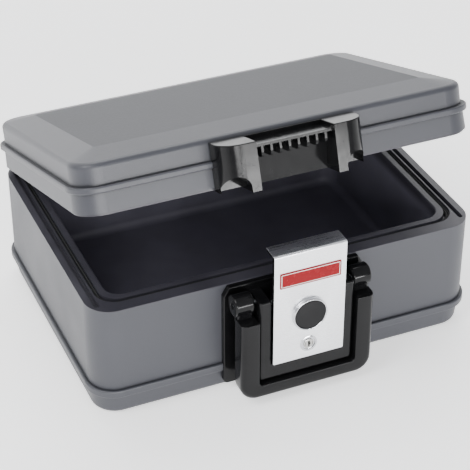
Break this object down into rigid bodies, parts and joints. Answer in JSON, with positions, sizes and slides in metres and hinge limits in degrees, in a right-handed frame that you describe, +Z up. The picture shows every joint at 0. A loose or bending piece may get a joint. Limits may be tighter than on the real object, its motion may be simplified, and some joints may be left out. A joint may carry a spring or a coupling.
{
  "type": "fire-resistant document chest",
  "caption": "Portable fire-resistant document chest with hinged lid part open, moulded shell, inner tub, front latch with push button and key lock, and a swinging carry handle.",
  "frame": {"origin": "centre of the flat underside, on the surface the chest stands on", "axes": "+X to the right seen from the front, +Y from the front wall to the rear hinges, +Z up"},
  "size_m": [0.3908, 0.3286, 0.2596],
  "materials": {
    "shell_plastic": "fine moulded texture, satin",
    "insulation": "cast, matt",
    "liner_plastic": "fine moulded texture",
    "seal_rubber": "matt",
    "gloss_black": "polished mould, semi-gloss",
    "matte_black": "fine matt",
    "zinc_steel": "zinc plated",
    "spring_steel": "drawn wire",
    "satin_silver": "fine satin anodised",
    "badge_red": "smooth, plain, no lettering",
    "bright_chrome": "polished",
    "lock_steel": "turned"
  },
  "bodies": {
    "base": {"base_shell": "shell_plastic", "base_insulation": "insulation", "base_liner": "liner_plastic", "rim_seal": "seal_rubber", "base_fill_plugs": "liner_plastic", "front_bezel": "gloss_black", "latch_housing": "gloss_black", "housing_screws": "zinc_steel", "lever_pin": "zinc_steel", "lever_spring": "spring_steel", "handle_pins": "zinc_steel", "hinge_base_leaves": "zinc_steel", "hinge_base_screws": "zinc_steel", "hinge_pins": "zinc_steel"},
    "handle": {"carry_handle": "gloss_black"},
    "latch": {"latch_lever": "gloss_black", "face_plate": "satin_silver", "badge": "badge_red", "button_ring": "bright_chrome", "button_spring": "spring_steel", "lock_barrel": "bright_chrome", "lock_nut": "zinc_steel"},
    "button": {"push_button": "matte_black", "button_clip": "spring_steel"},
    "lock": {"lock_plug": "lock_steel", "lock_cam": "zinc_steel", "cam_screw": "zinc_steel"},
    "lid": {"lid_shell": "shell_plastic", "lid_insulation": "insulation", "lid_liner": "liner_plastic", "lid_fill_plugs": "liner_plastic", "lid_bezel": "gloss_black", "lid_bezel_screws": "zinc_steel", "hinge_lid_leaves": "zinc_steel", "hinge_lid_screws": "zinc_steel"}
  },
  "joints": [
    {"name": "lid_hinge", "type": "hinge", "parent": "base", "child": "lid", "pos_m": [0, 0.1373, 0.1185], "axis": [-1, 0, 0], "range_deg": [-19.3, 70.7]},
    {"name": "handle_swing", "type": "hinge", "parent": "base", "child": "handle", "pos_m": [0, -0.1562, 0.106], "axis": [-1, 0, 0], "range_deg": [0, 90]},
    {"name": "latch_rock", "type": "hinge", "parent": "base", "child": "latch", "pos_m": [0, -0.1647, 0.106], "axis": [1, 0, 0], "range_deg": [0, 9], "stiffness_Nm_per_rad": 1.2},
    {"name": "button_push", "type": "slide", "parent": "latch", "child": "button", "axis": [0, 1, 0], "range_m": [0, 0.003], "stiffness_N_per_m": 800},
    {"name": "lock_turn", "type": "hinge", "parent": "latch", "child": "lock", "pos_m": [0, -0.1757, 0.058], "axis": [0, -1, 0], "range_deg": [0, 90]}
  ]
}
